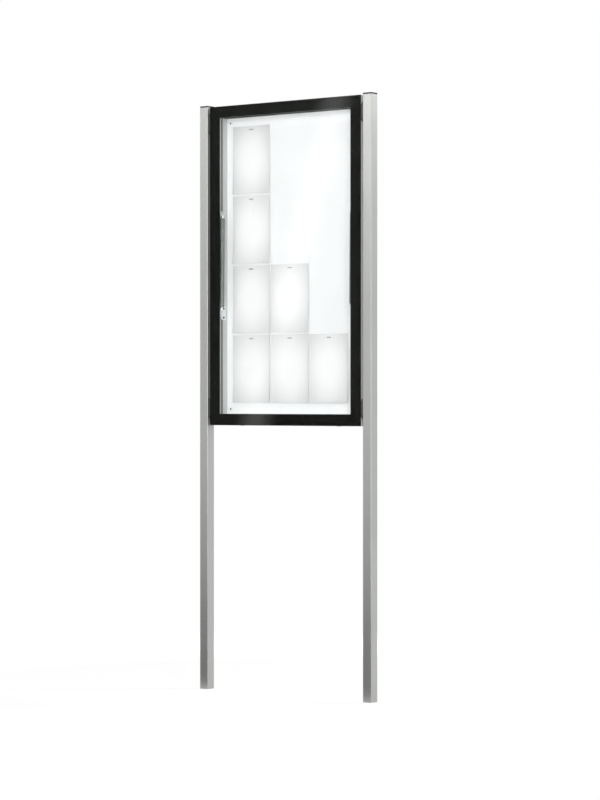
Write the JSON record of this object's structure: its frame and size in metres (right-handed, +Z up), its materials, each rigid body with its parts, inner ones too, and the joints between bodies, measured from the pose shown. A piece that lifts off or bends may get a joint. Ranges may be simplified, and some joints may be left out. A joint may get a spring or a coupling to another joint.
{
  "type": "lockable notice board",
  "caption": "Tall shallow aluminium display case with a top-hung glass door and black border, held between two square posts by oblong spacers, with paper sheets on a white board inside.",
  "frame": {"origin": "on the ground line, midway between the two posts and midway through the depth", "axes": "+X to the right along the board, +Y to its back, +Z up"},
  "size_m": [0.951, 0.0688, 2.5723],
  "materials": {
    "anodised_aluminium": "satin anodised",
    "black_plastic": "fine matt moulding",
    "rubber": "matt extruded",
    "white_enamel": "smooth satin",
    "black_enamel": "gloss behind glass",
    "glass": "clear polished",
    "stainless_steel": "satin",
    "grey_paint": "semi-gloss paint",
    "chrome": "polished",
    "zinc_plated_steel": "bright zinc plating",
    "paper": "uncoated card",
    "magnet_grey": "satin metal"
  },
  "bodies": {
    "board": {"left_post": "anodised_aluminium", "left_post_cap": "black_plastic", "right_post": "anodised_aluminium", "right_post_cap": "black_plastic", "upper_left_spacer": "black_plastic", "upper_right_spacer": "black_plastic", "lower_left_spacer": "black_plastic", "lower_right_spacer": "black_plastic", "case_top_rail": "anodised_aluminium", "case_bottom_rail": "anodised_aluminium", "case_left_rail": "anodised_aluminium", "case_right_rail": "anodised_aluminium", "case_cleat_lower_left": "zinc_plated_steel", "case_cleat_lower_right": "zinc_plated_steel", "case_cleat_upper_right": "zinc_plated_steel", "case_cleat_upper_left": "zinc_plated_steel", "back_panel": "white_enamel", "rear_cover": "anodised_aluminium", "panel_screw_upper_left": "stainless_steel", "panel_screw_upper_right": "stainless_steel", "panel_screw_lower_left": "stainless_steel", "panel_screw_lower_right": "stainless_steel", "door_seal": "rubber", "hinge_case_leaf": "stainless_steel", "hinge_pin": "stainless_steel", "left_strut_case_bracket": "zinc_plated_steel", "right_strut_case_bracket": "zinc_plated_steel", "left_lock_barrel": "chrome", "right_lock_barrel": "chrome", "notice_sheet_1": "paper", "notice_sheet_2": "paper", "notice_sheet_3": "paper", "notice_sheet_4": "paper", "notice_sheet_5": "paper", "notice_sheet_6": "paper", "notice_sheet_7": "paper", "sheet_magnet_1": "magnet_grey", "sheet_magnet_2": "magnet_grey", "sheet_magnet_3": "magnet_grey", "sheet_magnet_4": "magnet_grey", "sheet_magnet_5": "magnet_grey", "sheet_magnet_6": "magnet_grey", "sheet_magnet_7": "magnet_grey"},
    "door": {"door_top_rail": "anodised_aluminium", "door_bottom_rail": "anodised_aluminium", "door_left_rail": "anodised_aluminium", "door_right_rail": "anodised_aluminium", "door_glass": "glass", "glass_border": "black_enamel", "hinge_door_leaf": "stainless_steel", "left_strut_door_bracket": "zinc_plated_steel", "right_strut_door_bracket": "zinc_plated_steel", "left_lock_keeper": "zinc_plated_steel", "right_lock_keeper": "zinc_plated_steel"},
    "left_strut_rod": {"left_strut_rod": "chrome"},
    "left_strut_cylinder": {"left_strut_cylinder": "grey_paint"},
    "left_lock_plug": {"left_lock_plug": "stainless_steel"},
    "right_strut_rod": {"right_strut_rod": "chrome"},
    "right_strut_cylinder": {"right_strut_cylinder": "grey_paint"},
    "right_lock_plug": {"right_lock_plug": "stainless_steel"}
  },
  "joints": [
    {"name": "door_hinge", "type": "hinge", "parent": "board", "child": "door", "pos_m": [0, -0.01465, 2.5615], "axis": [-1, 0, 0], "range_deg": [0, 55]},
    {"name": "left_strut_tilt", "type": "hinge", "parent": "board", "child": "left_strut_rod", "pos_m": [-0.3585, -0.0184, 1.658], "axis": [1, 0, 0], "range_deg": [0, 31.5]},
    {"name": "left_strut_extend", "type": "slide", "parent": "left_strut_rod", "child": "left_strut_cylinder", "axis": [0, 0.0126, 0.9999], "range_m": [0, 0.302]},
    {"name": "left_lock_turn", "type": "hinge", "parent": "board", "child": "left_lock_plug", "pos_m": [-0.2685, 0.0126, 1.175], "axis": [0, 0, 1], "range_deg": [0, 90]},
    {"name": "right_strut_tilt", "type": "hinge", "parent": "board", "child": "right_strut_rod", "pos_m": [0.3585, -0.0184, 1.658], "axis": [1, 0, 0], "range_deg": [0, 31.5]},
    {"name": "right_strut_extend", "type": "slide", "parent": "right_strut_rod", "child": "right_strut_cylinder", "axis": [0, 0.0126, 0.9999], "range_m": [0, 0.302]},
    {"name": "right_lock_turn", "type": "hinge", "parent": "board", "child": "right_lock_plug", "pos_m": [0.2685, 0.0126, 1.175], "axis": [0, 0, -1], "range_deg": [0, 90]}
  ],
  "couplings": [
    {"joint": "left_strut_tilt", "follows": "door_hinge", "ratio": 0.57207},
    {"joint": "left_strut_extend", "follows": "door_hinge", "m_per_rad": 0.31378},
    {"joint": "right_strut_tilt", "follows": "door_hinge", "ratio": 0.57207},
    {"joint": "right_strut_extend", "follows": "door_hinge", "m_per_rad": 0.31378}
  ]
}
